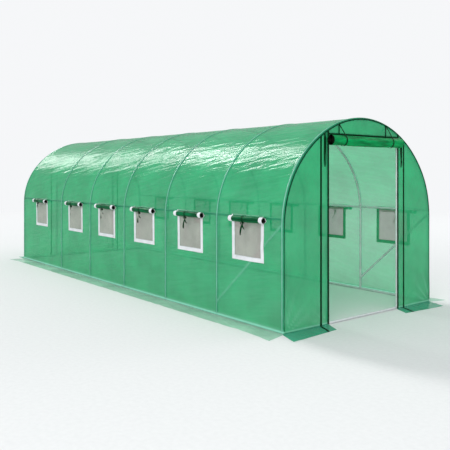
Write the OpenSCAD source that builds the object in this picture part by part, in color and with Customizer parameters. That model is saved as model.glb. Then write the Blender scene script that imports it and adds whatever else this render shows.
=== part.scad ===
// Walk-in polytunnel greenhouse: a frame of steel hoops under a sheet cover.
// The ground is z = 0, the tunnel runs along X and its open door is at the +X end.

/* [Tunnel] */
// Outside width across the straight walls
tunnel_w = 2200; // [1900:10:2600]
// Height of the straight walls, up to where the arch springs
spring_h = 930; // [850:10:1100]
// How far from the middle the centre of each shoulder arc lies
shoulder_offset = 200; // [120:10:300]
// How much the radius of the crown exceeds half the width
crown_extra = 50; // [30:5:120]
// Distance between hoops in the regular bays
bay_l = 915; // [800:5:1100]
// Length of the longer bay at the rear
rear_bay_l = 1475; // [800:5:1600]

/* [Frame] */
// Diameter of the frame tubes
tube_d = 25; // [19:1:38]
// Height of the side rails
rail_h = 990; // [940:5:1100]
// Gap between a side rail and the top of the corner brace under it
brace_gap = 20; // [5:1:80]
// Height at which a corner brace meets its second hoop
brace_foot_h = 140; // [80:5:300]

/* [Cover] */
// Thickness of the cover sheet
cover_t = 3; // [2:0.5:5]
// Width of the side skirts that lie on the ground
skirt_w = 180; // [100:10:400]
// Width of a side skirt at its two ends
skirt_end_w = 215; // [100:5:340]
// Length over which a side skirt widens to its ends
skirt_taper_l = 300; // [200:10:1200]
// How far the outer corner of a side skirt runs past the end wall
skirt_tip = 60; // [0:5:120]
// Length of the flaps that lie on the ground at both ends, at the corners of the tunnel
flap_l = 210; // [150:10:400]
// Length of the front flaps beside the doorway
flap_door_l = 160; // [100:10:400]
// How far the front flaps are pulled to one side
flap_skew = 80; // [0:10:200]

/* [Door] */
// Width of the doorway
door_w = 1030; // [800:10:1200]
// Gap between the header tube and the hoop at the corners of the doorway
head_gap = 8; // [2:1:60]
// Distance between the inner and the outer zip beside the door
zip_pitch = 97; // [60:1:160]
// Width of the upright zip tapes
zip_w = 22; // [12:1:40]
// Width of the zip tape over the doorway
header_zip_w = 15; // [8:1:30]
// Thickness of the zip tapes
zip_t = 2; // [1:0.5:4]
// Length of the rolled-up door
door_roll_l = 1040; // [900:10:1180]
// How far the rolled-up door is shifted to one side
door_roll_shift = 30; // [0:5:60]
// Diameter of the rolled-up door
door_roll_d = 104; // [80:1:130]
// Diameter of the hollow in the middle of the rolled-up door
door_core_d = 16; // [10:1:30]
// Air between the windings of the door
door_wind_gap = 1.7; // [1:0.1:6]
// Distance between the two straps that hold the rolled-up door
strap_pitch = 700; // [400:10:900]
// Width of the straps
strap_w = 15; // [8:1:30]
// Thickness of the straps
strap_t = 2; // [1:0.5:4]
// How far under the arch the knot of a strap lies
knot_drop = 20; // [12:1:60]
// Diameter of the knots
knot_d = 16; // [8:1:30]
// Length of the loose tie beside each upper corner of the door
tie_l = 295; // [150:5:400]

/* [Windows] */
// Width of the white tape frame round a window
window_w = 450; // [350:5:520]
// Height of the tape frame
window_h = 420; // [300:5:500]
// Height of the lower edge of the tape frame above the ground
window_sill_h = 585; // [450:5:650]
// Width of the tape
window_border = 40; // [20:1:60]
// Thickness of the tape
window_tape_t = 2; // [1:0.5:4]
// Thickness of the insect screen
screen_t = 2; // [1:0.5:2]
// Length of a rolled-up window flap
window_roll_l = 470; // [400:5:560]
// Distance of a rolled-up window flap from the middle of its window, towards the front
window_roll_shift = 35; // [0:5:60]
// Diameter of a rolled-up window flap
window_roll_d = 68; // [50:1:90]
// Diameter of the hollow in the middle of a window roll
window_core_d = 16; // [10:1:24]
// Air between the windings of a window flap
window_wind_gap = 5.6; // [2:0.1:8]
// Length of the tail that hangs from the tie of a window roll
window_tail_l = 120; // [60:5:200]

/* [Fit] */
// Clearance between pieces that lie against each other
clearance = 0.3; // [0.1:0.1:1]

/* [Hidden] */
$fn = 96;
bend_steps = 240; // smoothness of the bent tubes along their length
tube_steps = 48; // smoothness of the bent tubes round their section
hoop_count = 7;
turn_steps = 20; // points in one turn of a winding
seam_margin = 25; // cover above the windows before the first roof seam
// Angles on a roll count from 180 at its back, under it and up its front
strap_back_angle = 210; // where a door strap ends behind the roll
strap_leave_turn = 0.6; // share of a turn after which a door strap leaves the roll
tie_foot_angle = 290; // where the bow of a window tie lies
tie_top_angle = 480; // where a window tie ends above its roll
joint_overlap = 1; // how far pieces of one strap run into each other

half_w = tunnel_w / 2;
tube_r = tube_d / 2;
// The arch is drawn from three centres: two shoulders and a crown
crown_r = half_w + crown_extra;
shoulder_r = half_w - shoulder_offset;
centre_drop = sqrt(pow(crown_extra + shoulder_offset, 2) - pow(shoulder_offset, 2));
crown_z = spring_h - centre_drop;
turn_angle = atan2(centre_drop, shoulder_offset);
crown_angle = 180 - 2 * turn_angle;
// From the outside of the cover to the axis of a tube and to its far side
hoop_inset = cover_t + clearance + tube_r;
frame_inset = hoop_inset + tube_r;
panel_inset = cover_t + clearance;
tunnel_l = (hoop_count - 2) * bay_l + rear_bay_l + 2 * hoop_inset;
half_l = tunnel_l / 2;
front_x = half_l - hoop_inset;
wall_y = half_w - hoop_inset;
hoop_xs = concat([for (i = [0 : hoop_count - 2]) front_x - i * bay_l], [-front_x]);
bay_gap = tube_r + clearance;
// The butt joint between a shoulder tube and the crown tube
butt_angle = 180 / PI * clearance / (shoulder_r - hoop_inset);
// The roof is cut into strips that meet at these angles
window_top = window_sill_h + window_h;
seam_angle = asin((max(window_top, spring_h) + seam_margin - spring_h) / shoulder_r);
crown_strip = crown_angle / 4;
// The doorway reaches up to a header tube that fits under the hoop at its corners
door_h = arch_z(door_w / 2, frame_inset) - clearance - head_gap - tube_d;
post_y = door_w / 2 + tube_r;
outer_zip_y = door_w / 2 + zip_pitch;
brace_top_h = rail_h - tube_d - brace_gap;
door_pitch = cover_t + door_wind_gap;
window_pitch = cover_t + window_wind_gap;

cover_green = [0.27, 0.67, 0.47];
roll_green = [0.05, 0.43, 0.24];
tape_green = [0.02, 0.2, 0.1];
steel_grey = [0.72, 0.74, 0.75];
tape_white = [0.93, 0.93, 0.95];
screen_grey = [0.66, 0.65, 0.63];

// Half width of the arch at height z, this far inside the cover
function arch_y(z, inset) =
    z <= spring_h ? half_w - inset
    : z <= spring_h + (shoulder_r - inset) * sin(turn_angle)
    ? shoulder_offset + sqrt(pow(shoulder_r - inset, 2) - pow(z - spring_h, 2))
    : sqrt(pow(crown_r - inset, 2) - pow(z - crown_z, 2));

// Height of the arch at a distance y from the middle, this far inside the cover
function arch_z(y, inset) =
    y >= shoulder_offset + (shoulder_r - inset) * cos(turn_angle)
    ? spring_h + sqrt(pow(shoulder_r - inset, 2) - pow(y - shoulder_offset, 2))
    : crown_z + sqrt(pow(crown_r - inset, 2) - pow(y, 2));

function bay_middle(bay) = (hoop_xs[bay] + hoop_xs[bay + 1]) / 2;
function on_circle(r, angle) = [r * cos(angle), r * sin(angle)];

// Turns a section drawn in Y and Z so that it is extruded along X
module along_x() {
    rotate([90, 0, 90]) children();
}

// Turns a section drawn in X and Z so that it is extruded along -Y
module along_y() {
    rotate([90, 0, 0]) children();
}

module right_or_left(side) {
    mirror([0, side == "left" ? 1 : 0, 0]) children();
}

module both_sides() {
    children();
    mirror([0, 1, 0]) children();
}

module rear_end() {
    mirror([1, 0, 0]) children();
}

// Tube along X between two hoops
module bay_tube(bay, y, z) {
    length = hoop_xs[bay] - hoop_xs[bay + 1] - 2 * bay_gap;
    translate([hoop_xs[bay + 1] + bay_gap, y, z]) rotate([0, 90, 0]) cylinder(r = tube_r, h = length);
}

// Tube along Y across an end hoop
module cross_tube(half_length, z) {
    translate([front_x, half_length, z]) rotate([90, 0, 0]) cylinder(r = tube_r, h = 2 * half_length);
}

// Part of a cover strip: a sheet bent round an axis along X
module bent_sheet(r, from, to) {
    along_x() rotate([0, 0, from]) rotate_extrude(angle = to - from)
        translate([r - cover_t, 0]) square([cover_t, tunnel_l]);
}

module shoulder_sheet(from, to) {
    translate([-half_l, shoulder_offset, spring_h]) bent_sheet(shoulder_r, from, to);
}

module crown_sheet(from, to) {
    translate([-half_l, 0, crown_z]) bent_sheet(crown_r, from, to);
}

// Half of the end wall's outline, from the middle to the wall
module half_arch_area(inset) {
    square([half_w - inset, spring_h]);
    translate([shoulder_offset, spring_h]) intersection() {
        circle(shoulder_r - inset);
        polygon([[0, 0], 2 * on_circle(shoulder_r, 0), 2 * on_circle(shoulder_r, turn_angle)]);
    }
    intersection() {
        translate([0, crown_z]) circle(crown_r - inset);
        polygon([[0, 0], [shoulder_offset, spring_h], [0, crown_z] + 2 * on_circle(crown_r, turn_angle),
                 [0, crown_z + 2 * crown_r]]);
    }
    polygon([[0, spring_h], [shoulder_offset, spring_h], [0, crown_z]]);
}

// A sheet of the front end wall
module end_sheet() {
    translate([half_l - cover_t, 0, 0]) along_x() linear_extrude(cover_t) children();
}

// Point of a winding that starts at the back of a roll and narrows by its pitch in each turn
function on_winding(r, pitch, angle) = on_circle(r - pitch * (angle - 180) / 360, angle);

// Points of a sheet that comes down at the back of a roll and winds inwards
function winding(r, core_r, pitch, tail) =
    let (steps = ceil((r - core_r) / pitch * turn_steps),
         step = 360 / turn_steps)
    concat([[-r, tail]],
           [for (i = [0 : steps]) on_winding(r, pitch, 180 + i * step)],
           [for (i = [steps : -1 : 0]) on_winding(r - cover_t, pitch, 180 + i * step)],
           [[cover_t - r, tail]]);

// Points of a flat strap that lies on a winding between two of its angles, with its outer face first
function bent_strap(r, pitch, from, to) =
    let (steps = ceil((to - from) / 360 * turn_steps) * 2,
         step = (to - from) / steps)
    concat([for (i = [0 : steps]) on_winding(r + clearance + strap_t, pitch, from + i * step)],
           [for (i = [steps : -1 : 0]) on_winding(r + clearance, pitch, from + i * step)]);

// Tube bent to an arc round an axis along X
module bent_tube(r, from, to) {
    along_x() rotate([0, 0, from]) rotate_extrude(angle = to - from, $fn = bend_steps)
        translate([r, 0]) circle(tube_r, $fn = tube_steps);
}

// Top of one hoop: two shoulder tubes and a crown tube that butt against each other
module arch(index) {
    color(steel_grey) translate([hoop_xs[index - 1], 0, 0]) {
        both_sides() translate([0, shoulder_offset, spring_h])
            bent_tube(shoulder_r - hoop_inset, 0, turn_angle - butt_angle);
        translate([0, 0, crown_z])
            bent_tube(crown_r - hoop_inset, turn_angle, turn_angle + crown_angle);
    }
}

module uprights(side) {
    color(steel_grey) right_or_left(side) for (x = hoop_xs)
        translate([x, wall_y, 0]) cylinder(r = tube_r, h = spring_h);
}

module ridge_rail() {
    color(steel_grey) for (bay = [0 : hoop_count - 2])
        bay_tube(bay, 0, crown_z + crown_r - hoop_inset);
}

module side_rails() {
    color(steel_grey) both_sides() for (bay = [0 : hoop_count - 2])
        bay_tube(bay, arch_y(rail_h, hoop_inset), rail_h);
}

module base_rails() {
    color(steel_grey) both_sides() for (bay = [0 : hoop_count - 2])
        bay_tube(bay, wall_y, tube_r);
}

// Sloping tube in the first bay of each wall, cut upright where it meets the two hoops
module corner_braces() {
    run = hoop_xs[0] - hoop_xs[1];
    drop = brace_top_h - brace_foot_h;
    color(steel_grey) both_sides() intersection() {
        translate([hoop_xs[0], wall_y, brace_top_h]) rotate([0, atan2(-run, -drop), 0])
            translate([0, 0, -tube_d]) cylinder(r = tube_r, h = norm([run, drop]) + 2 * tube_d);
        translate([hoop_xs[1] + bay_gap, 0, 0]) cube([run - 2 * bay_gap, tunnel_w, rail_h]);
    }
}

module sill() {
    color(steel_grey) cross_tube(wall_y - bay_gap, tube_r);
}

module door_posts() {
    foot = tube_d + clearance;
    color(steel_grey) both_sides() translate([front_x, post_y, foot])
        cylinder(r = tube_r, h = arch_z(post_y + tube_r, frame_inset) - clearance - foot);
}

module header() {
    color(steel_grey) cross_tube(door_w / 2 - clearance, door_h + tube_r);
}

module roof_crown(side) {
    color(cover_green) right_or_left(side) crown_sheet(90 - crown_strip, 90);
}

module roof_haunch(side) {
    color(cover_green) right_or_left(side) crown_sheet(turn_angle, turn_angle + crown_strip);
}

module roof_shoulder(side) {
    color(cover_green) right_or_left(side) shoulder_sheet(seam_angle, turn_angle);
}

// Space of one window inside its tape frame, shrunk by a margin
module window_space(bay, y, depth, margin) {
    width = window_w - 2 * (window_border + margin);
    translate([bay_middle(bay) - width / 2, y, window_sill_h + window_border + margin])
        cube([width, depth, window_h - 2 * (window_border + margin)]);
}

// Side wall with the window openings, up to the first roof seam
module wall_cover(side) {
    color(cover_green) right_or_left(side) difference() {
        union() {
            translate([-half_l, half_w - cover_t, 0]) cube([tunnel_l, cover_t, spring_h]);
            shoulder_sheet(0, seam_angle);
        }
        for (bay = [0 : hoop_count - 2]) window_space(bay, half_w - 2 * hoop_inset, 4 * hoop_inset, 0);
    }
}

module skirt(side) {
    inner_y = half_w + clearance;
    color(cover_green) right_or_left(side) linear_extrude(cover_t)
        polygon([[-half_l, inner_y], [half_l, inner_y],
                 [half_l + skirt_tip, half_w + skirt_end_w],
                 [half_l - skirt_taper_l, half_w + skirt_w],
                 [skirt_taper_l - half_l, half_w + skirt_w],
                 [-half_l - skirt_tip, half_w + skirt_end_w]]);
}

// Fixed part of an end wall beside the door
module end_panel(side) {
    color(cover_green) right_or_left(side) end_sheet() intersection() {
        half_arch_area(panel_inset);
        translate([door_w / 2, 0]) square([half_w, spring_h + crown_r]);
    }
}

// Fixed part of an end wall over the door
module end_panel_top() {
    color(cover_green) end_sheet() intersection() {
        union() {
            half_arch_area(panel_inset);
            mirror([1, 0]) half_arch_area(panel_inset);
        }
        translate([clearance - door_w / 2, door_h]) square([door_w - 2 * clearance, crown_r]);
    }
}

// Closed door of the rear end
module rear_door_panel() {
    color(cover_green) rear_end() end_sheet()
        translate([clearance - door_w / 2, 0]) square([door_w - 2 * clearance, door_h - clearance]);
}

// Outline of a flap on the ground, from y = near to y = far at the end wall, with its length at both sides
module flap_area(near, far, near_l, far_l, skew) {
    polygon([[half_l + clearance, near], [half_l + near_l, near - skew],
             [half_l + far_l, far - skew], [half_l + clearance, far]]);
}

module front_flaps() {
    color(cover_green) linear_extrude(cover_t) {
        flap_area(door_w / 2, half_w, flap_door_l, flap_l, flap_skew);
        flap_area(-half_w, -door_w / 2, flap_l, flap_door_l, flap_skew);
    }
}

module rear_flap() {
    color(cover_green) rear_end() linear_extrude(cover_t)
        flap_area(-half_w, half_w, flap_l, flap_l, 0);
}

// Upright zip tape on an end wall, from the flap to the arch
module upright_zip(y) {
    foot = cover_t + clearance;
    translate([half_l + clearance, y, foot])
        cube([zip_t, zip_w, arch_z(y + zip_w, panel_inset) - foot]);
}

module end_zips() {
    color(tape_green) {
        both_sides() {
            upright_zip(door_w / 2);
            upright_zip(outer_zip_y);
        }
        translate([half_l + clearance, clearance - door_w / 2, door_h])
            cube([zip_t, door_w - 2 * clearance, header_zip_w]);
    }
}

// Zip tape that runs on from the end wall over a front flap
module flap_zip(y) {
    start_x = half_l + clearance + zip_t + clearance;
    start_y = y - flap_skew * (start_x - half_l) / flap_door_l;
    translate([0, 0, cover_t + clearance]) linear_extrude(zip_t)
        polygon([[start_x, start_y], [half_l + flap_door_l, y - flap_skew],
                 [half_l + flap_door_l, y + zip_w - flap_skew], [start_x, start_y + zip_w]]);
}

module front_zips() {
    end_zips();
    color(tape_green) {
        flap_zip(outer_zip_y);
        flap_zip(-outer_zip_y - zip_w);
    }
}

// Places a section whose origin is the axis of the rolled-up door
module at_door_roll(y, length) {
    translate([half_l + zip_t + 2 * clearance + door_roll_d / 2, y + length / 2, door_h - door_roll_d / 2])
        along_y() linear_extrude(length) children();
}

module door_roll() {
    r = door_roll_d / 2;
    color(roll_green) at_door_roll(-door_roll_shift, door_roll_l)
        polygon(winding(r, door_core_d / 2, door_pitch, r + header_zip_w));
}

// Strap from a knot under the arch, down over the front of the roll and round its underside
module door_strap(y) {
    roll_r = door_roll_d / 2;
    knot_r = knot_d / 2;
    knot = [knot_r - zip_t - clearance - roll_r, arch_z(abs(y), panel_inset) - knot_drop - door_h + roll_r];
    leave_r = roll_r + clearance - strap_leave_turn * door_pitch;
    leave_angle = atan2(knot[1], knot[0]) - acos(leave_r / norm(knot));
    leg = sqrt(pow(norm(knot), 2) - pow(leave_r, 2));
    at_door_roll(y, strap_w) {
        polygon(bent_strap(roll_r, door_pitch, strap_back_angle, leave_angle + 360));
        rotate(leave_angle) translate([leave_r, -joint_overlap]) square([strap_t, leg + joint_overlap]);
        translate(knot) circle(knot_r);
    }
}

module door_straps() {
    color(tape_green) for (side = [-1, 1])
        door_strap(side * strap_pitch / 2 - door_roll_shift);
}

// Loose ties between the zips, beside the upper corners of the door
module door_ties() {
    y = (door_w / 2 + zip_w + outer_zip_y) / 2;
    color(tape_green) both_sides()
        translate([half_l + clearance, y - strap_w / 2, door_h - tie_l]) cube([strap_t, strap_w, tie_l]);
}

// Repeats a piece drawn for the right wall at every window of both walls
module at_windows() {
    both_sides() for (bay = [0 : hoop_count - 2]) translate([bay_middle(bay), 0, 0]) children();
}

module window_frames() {
    color(tape_white) both_sides() for (bay = [0 : hoop_count - 2]) difference() {
        translate([bay_middle(bay) - window_w / 2, half_w + clearance, window_sill_h])
            cube([window_w, window_tape_t, window_h]);
        window_space(bay, half_w, 2 * window_tape_t + 2 * clearance, 0);
    }
}

module window_screens() {
    color(screen_grey) both_sides() for (bay = [0 : hoop_count - 2])
        window_space(bay, half_w - cover_t, screen_t, clearance);
}

// Places a section whose origin is the axis of a rolled-up window flap
module at_window_roll(length, shift) {
    roll_r = window_roll_d / 2;
    translate([shift - length / 2, half_w + window_tape_t + 2 * clearance + roll_r, window_top - roll_r])
        along_x() linear_extrude(length) children();
}

module window_rolls() {
    r = window_roll_d / 2;
    color(roll_green) at_windows() at_window_roll(window_roll_l, window_roll_shift)
        polygon(winding(r, window_core_d / 2, window_pitch, r));
}

// Band round a window roll with a bow under it and a hanging tail
module window_ties() {
    roll_r = window_roll_d / 2;
    bow_r = strap_w / 2;
    bow = on_winding(roll_r + clearance + bow_r, window_pitch, tie_foot_angle);
    color(tape_green) at_windows() at_window_roll(strap_w, 0) {
        polygon(bent_strap(roll_r, window_pitch, tie_foot_angle, tie_top_angle));
        translate(bow) circle(bow_r);
        translate(bow - [strap_t / 2, window_tail_l]) square([strap_t, window_tail_l]);
    }
}

for (i = [1 : hoop_count]) arch(i);
uprights("left");  // uprights_left
uprights("right");  // uprights_right
ridge_rail();
side_rails();
base_rails();
corner_braces();
sill();  // front_sill
rear_end() sill();  // rear_sill
door_posts();  // front_door_posts
rear_end() door_posts();  // rear_door_posts
header();  // front_header
rear_end() header();  // rear_header
roof_crown("left");  // roof_crown_left
roof_crown("right");  // roof_crown_right
roof_haunch("left");  // roof_haunch_left
roof_haunch("right");  // roof_haunch_right
roof_shoulder("left");  // roof_shoulder_left
roof_shoulder("right");  // roof_shoulder_right
wall_cover("left");  // wall_cover_left
wall_cover("right");  // wall_cover_right
skirt("left");  // skirt_left
skirt("right");  // skirt_right
end_panel("left");  // front_panel_left
end_panel("right");  // front_panel_right
end_panel_top();  // front_panel_top
rear_end() end_panel("left");  // rear_panel_left
rear_end() end_panel("right");  // rear_panel_right
rear_end() end_panel_top();  // rear_panel_top
rear_door_panel();
front_flaps();
rear_flap();
front_zips();
rear_end() end_zips();  // rear_zips
door_roll();
door_straps();
door_ties();
window_frames();
window_screens();
window_rolls();
window_ties();
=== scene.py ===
"""Polytunnel greenhouse: sheet cover, end walls, rolled-up door and screened windows over a frame of steel hoops."""

import bisect
import math

import bmesh
import bpy
from bpy.props import FloatProperty, FloatVectorProperty, PointerProperty
from bpy.types import NodeSocket, Operator, Panel, PropertyGroup
from mathutils import Matrix, Vector, noise


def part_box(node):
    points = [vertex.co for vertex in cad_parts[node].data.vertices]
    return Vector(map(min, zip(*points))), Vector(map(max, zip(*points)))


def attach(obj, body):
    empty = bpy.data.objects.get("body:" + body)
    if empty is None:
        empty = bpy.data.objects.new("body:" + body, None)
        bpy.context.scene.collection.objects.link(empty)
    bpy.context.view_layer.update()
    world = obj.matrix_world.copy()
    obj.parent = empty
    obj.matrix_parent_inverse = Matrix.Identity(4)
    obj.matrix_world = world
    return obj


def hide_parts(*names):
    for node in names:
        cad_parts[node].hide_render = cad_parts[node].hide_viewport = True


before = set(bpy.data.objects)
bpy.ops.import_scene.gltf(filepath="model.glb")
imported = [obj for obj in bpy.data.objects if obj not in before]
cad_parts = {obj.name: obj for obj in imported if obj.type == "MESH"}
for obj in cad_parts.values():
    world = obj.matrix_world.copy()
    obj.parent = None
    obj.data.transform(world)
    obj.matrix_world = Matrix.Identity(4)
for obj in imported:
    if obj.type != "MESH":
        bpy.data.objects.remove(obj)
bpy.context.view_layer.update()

bl_info = {
    "name": "Polytunnel Greenhouse",
    "version": (1, 0, 0),
    "blender": (4, 5, 0),
    "location": "View3D > Sidebar > Polytunnel",
    "description": "Dresses a packed polytunnel frame with its sheet cover, end walls, door and windows",
    "category": "Add Mesh",
}

ENDS = ((1, "front"), (-1, "rear"))
WALLS = ((-1, "left"), (1, "right"))
ARCHES = [f"arch_{i}" for i in range(1, 8)]
STEEL_NODES = ARCHES + [
    "uprights_left", "uprights_right", "ridge_rail", "side_rails", "base_rails", "corner_braces",
    "front_sill", "rear_sill", "front_door_posts", "rear_door_posts", "front_header", "rear_header"]
COVER_NODES = [f"{strip}_{wall}" for strip in ("roof_crown", "roof_haunch", "roof_shoulder", "wall_cover")
               for _, wall in WALLS]


def low(node):
    """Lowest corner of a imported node."""
    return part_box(node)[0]


def high(node):
    """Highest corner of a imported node."""
    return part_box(node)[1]


def middle(node, axis):
    return (low(node)[axis] + high(node)[axis]) / 2


# Outline of the tunnel, in metres: uprights, shoulder arcs and a crown arc
HALF_L = high("wall_cover_left")[0]
HALF_W = -low("wall_cover_left")[1]
SPRING_H = low("arch_1")[2]
SHOULDER_OFFSET = 0.2
SHOULDER_R = HALF_W - SHOULDER_OFFSET
CROWN_TOP = high("roof_crown_left")[2]
CROWN_R = 1.15
CROWN_Z = CROWN_TOP - CROWN_R
TURN = math.atan2(SPRING_H - CROWN_Z, SHOULDER_OFFSET)
SHOULDER_L = SHOULDER_R * TURN
CROWN_START = SPRING_H + SHOULDER_L
HALF_ARCH = CROWN_START + CROWN_R * (math.pi / 2 - TURN)
ARCH_L = 2 * HALF_ARCH

# Tubes that carry the cover, with the bay of the corner braces at the door's end
HOOPS = sorted(middle(arch, 0) for arch in ARCHES)
BAY_MIDDLES = [(a + b) / 2 for a, b in zip(HOOPS, HOOPS[1:])]
BAY_L = 0.915
TUBE_R = (high("arch_1")[0] - low("arch_1")[0]) / 2
SHEET_SEAT = 0.0026
RAIL_H = middle("side_rails", 2)
BRACE_TOP_H = RAIL_H - 0.045
BRACE_FOOT_H = 0.14

# Bolts: segments, radius, start and height of the washer and of the hexagon head
BOLT_PARTS = ((16, 0.0085, 0.0, 0.0025), (6, 0.0065, 0.0025, 0.005))
BOLT_BEVEL = 0.0007

# How near a tube the sheet lies on it, has no creases, carries a painted pale highlight and carries painted dark
# shade
SEATED = {"hoop": 0.012, "rail": 0.014, "brace": 0.045}
STILL = {"hoop": 0.035, "rail": 0.04, "brace": 0.06}
PAINTED_HIGHLIGHT = {"hoop": 0.0055, "brace": 0.011, "base": 0.013, "sill": 0.009}
PAINTED_TUBE_SHADE = {"hoop": 0.015, "rail": 0.011}

# Grid of the cover, with close lines along the tubes
COVER_COLUMN = 0.031
COVER_ROW = 0.0175
BRACE_COLUMN = 0.016
HOOP_STEPS = (0.0, 0.003, 0.006, 0.009, 0.012, 0.016, 0.022, 0.030)
RAIL_STEPS = (-0.021, -0.014, -0.007, 0.0, 0.007, 0.014, 0.021)
CREASE_SLOPE = 0.18

# Foot of the sheets, where they bend out onto the ground
BEND_R = 0.005
BEND_START = 0.009
BEND_TURN = 0.4
BEND_ROWS = [0.0, 0.2, BEND_TURN, 0.5, 0.6, 0.7, 0.8, 0.9, 1.0]
FOOT = BEND_START - 0.002
FOOT_LINE = 0.020
FOOT_LEVELS = [FOOT_LINE + step for step in (-0.008, -0.004, 0.0, 0.004, 0.008, 0.012, 0.018)]
GROUND_GAP = 0.0012
SKIRT_W = 0.18
SKIRT_END_W = high("skirt_right")[1] - HALF_W
SKIRT_TAPER_L = 0.3
SKIRT_TIP = high("skirt_right")[0] - HALF_L
SKIRT_COLUMN = 0.03
SKIRT_WAVER = 0.006

# End walls and door
DOOR_HALF = high("rear_door_panel")[1]
DOOR_H = high("rear_door_panel")[2]
DOOR_CORNER_S = CROWN_START + CROWN_R * (math.atan2(DOOR_H - CROWN_Z, DOOR_HALF) - TURN)
END_GRID = 0.02
END_INSET = 0.0012
END_SLACK = 0.003
POST_Y = DOOR_HALF + 0.0125
EDGE_INSET = 0.010
FOLD_FEET = ((HALF_W - 0.02, 1.0), (DOOR_HALF + 0.03, 0.3))
FOLD_RAYS = 17
FOLD_REACH = 0.24
FLAP_L = high("front_flaps")[0] - HALF_L
FLAP_DOOR_L = 0.16
FLAP_SKEW = 0.08
FLAP_GAP = 0.0014

# Tapes: their lift off the sheets, and the zip's and the binding's heights across their width
TAPE_T = 0.0012
ZIP_LIFT = 0.0022
FLAP_ZIP_LIFT = 0.0018
BINDING_LIFT = 0.0016
TIE_LIFT = 0.0035
ZIP_W = 0.022
HEADER_ZIP_W = 0.015
OUTER_ZIP_Y = high("front_zips")[1] - ZIP_W
ZIP_COIL = {-0.5: 0.0, -0.24: 0.0, -0.14: 0.0016, 0.0: 0.0024, 0.14: 0.0016, 0.24: 0.0, 0.5: 0.0}
BINDING_T = 0.001
BINDING_INSET = 0.0195
BINDING_GRID = 0.016
BINDING_FOOT = 0.03
BINDING_DOME = {-0.5: 0.0, -0.3: 0.0018, 0.0: 0.0026, 0.3: 0.0018, 0.5: 0.0}
STRAP_YS = (-0.38, 0.32)
STRAP_W = 0.015
STRAP_GAP = 0.0032
STRAP_TURN = math.radians(172)
KNOT_R = 0.008
KNOT_DROP = 0.02

# Rolled-up door and windows
CORE_R = 0.008
ROLL_GRID = 0.012
ROLL_SLIP = 0.012
PINCH_W = 0.022
PINCH_DEPTH = 0.0026
DOOR_ROLL_R = 0.052
DOOR_PITCH = 0.0047
DOOR_ROLL_X = high("door_roll")[0] - DOOR_ROLL_R
DOOR_ROLL_Z = low("door_roll")[2] + DOOR_ROLL_R
DOOR_ROLL_SAG = 0.004
DOOR_ROLL_SEED = 80.0
WINDOW_HALF_W = 0.225
WINDOW_SILL = low("window_frames")[2]
WINDOW_TOP = high("window_frames")[2]
FRAME_W = 0.04
FRAME_GRID = 0.03
FRAME_LIFT = 0.0022
SCREEN_GRID = 0.022
SCREEN_SEAM = 0.004
SCREEN_SEAT = 0.0003
SCREEN_DEPTH = 0.0009
SCREEN_SAG = 0.004
WINDOW_ROLL_R = 0.034
WINDOW_ROLL_L = 0.47
WINDOW_ROLL_SHIFT = 0.035
WINDOW_ROLL_BAND = 0.052
WINDOW_ROLL_SEED = 120.0
WINDOW_PITCH = 0.0086
WINDOW_ROLL_Y = HALF_W + 0.0026 + WINDOW_ROLL_R
WINDOW_ROLL_Z = WINDOW_TOP - WINDOW_ROLL_R

# Window ties: angles of the band's start, its turn and the knot, and lean, drop and width of the hanging ends
TIE_START, TIE_TURN, TIE_KNOT = (math.radians(a) for a in (-75, 235, -70))
TIE_KNOT_R = 0.009
TIE_ENDS = ((-0.040, 0.116, 0.018), (0.018, 0.06, 0.016))
BOW_L = 0.024
BOW_H = 0.010
BOW_W = 0.009

# Layers of seeded noise: size of a lump along and across, and a seed
NOISE = {
    "long_fold": (0.42, 0.062, 3.1),
    "short_fold": (0.2, 0.034, 8.7),
    "ridge": (0.6, 0.085, 5.3),
    "pucker": (0.16, 0.036, 12.4),
    "billow": (0.5, 0.28, 21.0),
    "foot_fold": (0.10, 0.3, 30.0),
    "hoop_highlight": (1.0, 0.2, 33.0),
    "ground_wave": (0.16, 0.20, 40.0),
    "ground_ripple": (0.06, 0.09, 44.0),
    "skirt_edge": (0.3, 1.0, 50.0),
    "corner_ray": (0.5, 0.3, 60.0),
    "end_slack": (0.35, 0.5, 64.0),
    "end_ripple": (0.07, 0.30, 68.0),
    "binding_gather": (0.045, 1.0, 70.0),
    "roll_fold": (0.16, 1.0, 0.0),
    "roll_crinkle": (0.035, 1.0, 9.0),
    "roll_slip": (1.0, 1.0, 4.0),
    "roll_tilt": (1.0, 1.0, 7.0),
    "door_tie": (1.0, 1.0, 90.0),
    "frame_pucker": (0.06, 0.06, 100.0),
    "screen_ripple": (0.12, 0.16, 110.0),
    "tie_sway": (1.0, 1.0, 130.0),
}

# Stage: a camera fitted to a square picture, and lamps with place, aim, size and power
IMAGE_PX = 450
SENSOR_MM = 36.0
LENS_PX = 609.6
HORIZON_PX = 174
CAMERA_PLACE = (6.811, -4.74, 1.381)
CAMERA_TURN = math.radians(51.43)
BACKDROP = (0.92, 0.93, 0.945, 1.0)
SKY_LIGHT = (0.92, 0.96, 1.0, 1.0)
SKY_STRENGTH = 0.66
FLOOR_R = 60.0
LAMPS = (
    ("key_light", (-53.0, 0.0, 27.0), (0.0, 0.0, 1.5), (9.0, 15.0), 4300.0),
    ("high_light", (-44.0, 0.0, 41.0), (0.0, 0.0, 1.5), (9.0, 16.0), 13600.0),
    ("fill_light", (11.0, -16.0, 7.5), (0.5, 0.0, 0.8), (14.0, 9.0), 1600.0),
    ("side_light", (4.0, 17.0, 8.0), (0.0, 0.0, 0.8), (14.0, 9.0), 750.0))


def colour(name, words, value):
    return FloatVectorProperty(name=name, description=words, default=value, subtype="COLOR",
                               size=3, min=0.0, max=1.0)


def length(name, words, value):
    return FloatProperty(name=name, description=words, default=value, unit="LENGTH", min=0.0)


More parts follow.
